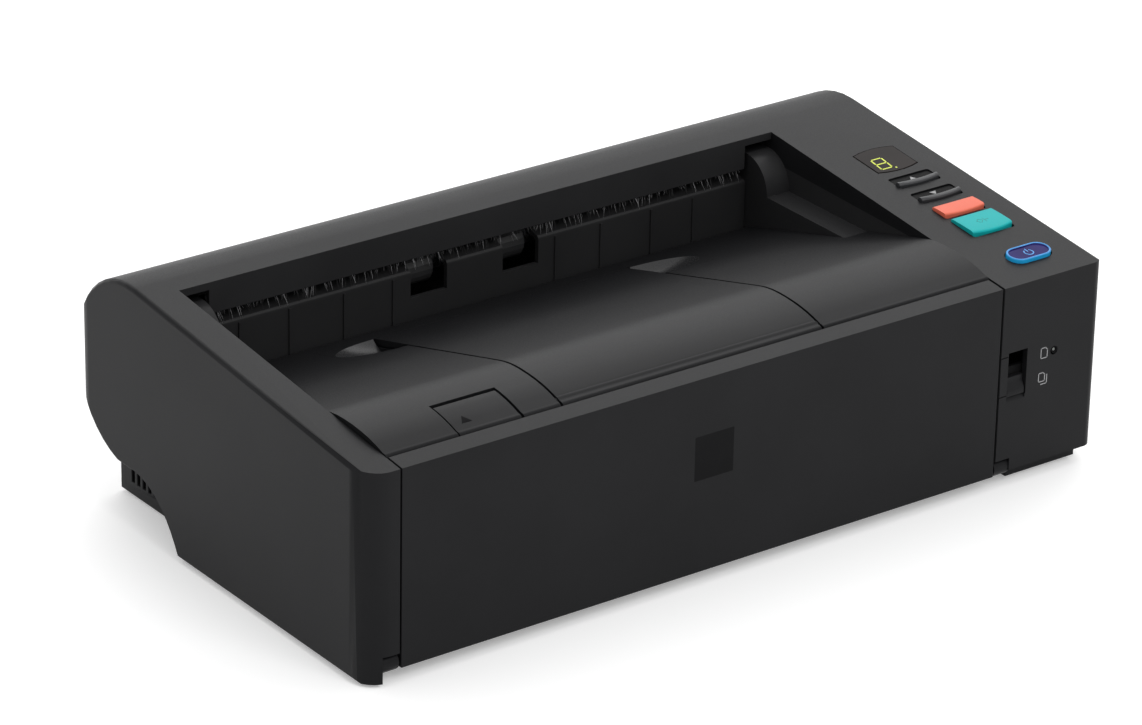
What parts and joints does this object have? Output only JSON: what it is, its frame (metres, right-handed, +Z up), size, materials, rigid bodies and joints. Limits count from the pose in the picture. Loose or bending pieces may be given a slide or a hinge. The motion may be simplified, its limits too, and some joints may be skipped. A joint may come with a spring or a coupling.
{
  "type": "document scanner",
  "caption": "Desktop document scanner with a fold-down feed tray, a lift-up front cover over a turn-round paper path, and a sloping control strip.",
  "frame": {"origin": "centre of the bounding box seen from above, at the level of the feet's undersides", "axes": "+X to the right along the front, +Y to the rear, +Z up"},
  "size_m": [0.313, 0.179, 0.0925],
  "materials": {
    "casing": "fine spark-eroded charcoal texture",
    "inner_plastic": "smooth satin black",
    "rubber": "matte",
    "steel": "ground",
    "bronze": "turned",
    "gear": "natural white, satin",
    "board": "green solder mask",
    "glass": "polished",
    "window": "dark smoked gloss",
    "bristle": "fine grey filaments",
    "dark_button": "satin",
    "coral_button": "satin coral",
    "teal_button": "satin teal",
    "blue_button": "clear top over blue",
    "port": "plated shell",
    "motor": "plated can"
  },
  "bodies": {
    "frame": {"main_casing": "casing", "base_tray": "casing", "foot_front_left": "rubber", "foot_front_right": "rubber", "foot_rear_left": "rubber", "foot_rear_right": "rubber", "lower_guide": "inner_plastic", "turn_guide": "inner_plastic", "outer_guide": "inner_plastic", "antistatic_brush": "bristle", "control_board": "board", "display_window": "window", "indicator_lens": "window", "main_board": "board", "usb_port": "port", "power_inlet": "inner_plastic", "lower_glass": "glass", "lower_sensor": "inner_plastic", "eject_bush_left": "bronze", "eject_bush_right": "bronze", "drive_bush_left": "bronze", "drive_bush_right": "bronze", "drive_belt": "rubber", "drive_bracket": "steel", "drive_motor": "motor"},
    "cover": {"front_cover": "casing", "cover_guide": "inner_plastic", "upper_glass": "glass", "upper_sensor": "inner_plastic", "retard_shaft": "steel"},
    "flap": {"eject_flap": "casing"},
    "lever": {"open_lever": "casing"},
    "retard": {"retard_roller": "rubber"},
    "panel": {"front_panel": "casing", "tray_plate": "casing"},
    "left_guide": {"guide_left": "inner_plastic"},
    "right_guide": {"guide_right": "inner_plastic"},
    "guide_gear": {"guide_pinion": "gear"},
    "drive_line": {"drive_shaft": "steel", "drive_roller_left": "rubber", "drive_roller_right": "rubber", "drive_gear": "gear", "drive_pulley": "gear"},
    "idler": {"idler_gear": "gear"},
    "feed_line": {"feed_shaft": "steel", "feed_roller": "rubber", "feed_gear": "gear"},
    "motor_line": {"motor_pinion": "bronze"},
    "eject_line": {"eject_shaft": "steel", "eject_roller_left": "rubber", "eject_roller_right": "rubber", "eject_pulley": "gear"},
    "button_upper": {"upper_button": "dark_button"},
    "button_lower": {"lower_button": "dark_button"},
    "button_stop": {"stop_button": "coral_button"},
    "button_start": {"start_button": "teal_button"},
    "button_power": {"power_button": "blue_button"},
    "mode_lever": {"feed_mode_lever": "inner_plastic"}
  },
  "joints": [
    {"name": "cover_open", "type": "hinge", "parent": "frame", "child": "cover", "pos_m": [-0.0161, 0.0385, 0.054], "axis": [-1, 0, 0], "range_deg": [0, 65]},
    {"name": "flap_open", "type": "hinge", "parent": "cover", "child": "flap", "pos_m": [-0.0181, -0.077, 0.078], "axis": [1, 0, 0], "range_deg": [0, 120]},
    {"name": "lever_lift", "type": "hinge", "parent": "cover", "child": "lever", "pos_m": [-0.1013, -0.0659, 0.0802], "axis": [-1, 0, 0], "range_deg": [0, 20], "stiffness_Nm_per_rad": 0.02},
    {"name": "retard_spin", "type": "hinge", "parent": "cover", "child": "retard", "pos_m": [-0.02, -0.0295, 0.0322], "axis": [1, 0, 0], "continuous": true},
    {"name": "panel_open", "type": "hinge", "parent": "frame", "child": "panel", "pos_m": [-0.0161, -0.0859, 0.0074], "axis": [1, 0, 0], "range_deg": [0, 80]},
    {"name": "guide_slide", "type": "slide", "parent": "panel", "child": "left_guide", "axis": [1, 0, 0], "range_m": [0, 0.075]},
    {"name": "guide_slide_right", "type": "slide", "parent": "panel", "child": "right_guide", "axis": [-1, 0, 0], "range_m": [0, 0.075]},
    {"name": "guide_gear_spin", "type": "hinge", "parent": "panel", "child": "guide_gear", "pos_m": [-0.02, -0.0855, 0.0352], "axis": [0, 1, 0], "range_deg": [-5, 545]},
    {"name": "drive_spin", "type": "hinge", "parent": "frame", "child": "drive_line", "pos_m": [-0.02, 0.0185, 0.0176], "axis": [1, 0, 0], "continuous": true},
    {"name": "idler_spin", "type": "hinge", "parent": "frame", "child": "idler", "pos_m": [0.117, -0.0055, 0.0176], "axis": [1, 0, 0], "continuous": true},
    {"name": "feed_spin", "type": "hinge", "parent": "frame", "child": "feed_line", "pos_m": [-0.02, -0.0295, 0.0176], "axis": [1, 0, 0], "continuous": true},
    {"name": "motor_spin", "type": "hinge", "parent": "frame", "child": "motor_line", "pos_m": [0.117, 0.01249, 0.03667], "axis": [1, 0, 0], "continuous": true},
    {"name": "eject_spin", "type": "hinge", "parent": "frame", "child": "eject_line", "pos_m": [-0.02, 0.0555, 0.0707], "axis": [1, 0, 0], "continuous": true},
    {"name": "press_upper", "type": "slide", "parent": "frame", "child": "button_upper", "axis": [0, 0.1044, -0.9945], "range_m": [0, 0.001], "stiffness_N_per_m": 300},
    {"name": "press_lower", "type": "slide", "parent": "frame", "child": "button_lower", "axis": [0, 0.1044, -0.9945], "range_m": [0, 0.001], "stiffness_N_per_m": 300},
    {"name": "press_stop", "type": "slide", "parent": "frame", "child": "button_stop", "axis": [0, 0.1044, -0.9945], "range_m": [0, 0.001], "stiffness_N_per_m": 300},
    {"name": "press_start", "type": "slide", "parent": "frame", "child": "button_start", "axis": [0, 0.1044, -0.9945], "range_m": [0, 0.001], "stiffness_N_per_m": 300},
    {"name": "press_power", "type": "slide", "parent": "frame", "child": "button_power", "axis": [0, 0.1044, -0.9945], "range_m": [0, 0.001], "stiffness_N_per_m": 300},
    {"name": "mode_slide", "type": "slide", "parent": "frame", "child": "mode_lever", "axis": [0, 0, 1], "range_m": [0, 0.0095]}
  ],
  "couplings": [
    {"joint": "guide_slide_right", "follows": "guide_slide", "ratio": 1},
    {"joint": "guide_gear_spin", "follows": "guide_slide", "rad_per_m": 125},
    {"joint": "idler_spin", "follows": "drive_spin", "ratio": -1},
    {"joint": "feed_spin", "follows": "drive_spin", "ratio": 1},
    {"joint": "motor_spin", "follows": "drive_spin", "ratio": -1.5},
    {"joint": "eject_spin", "follows": "drive_spin", "ratio": 1}
  ]
}
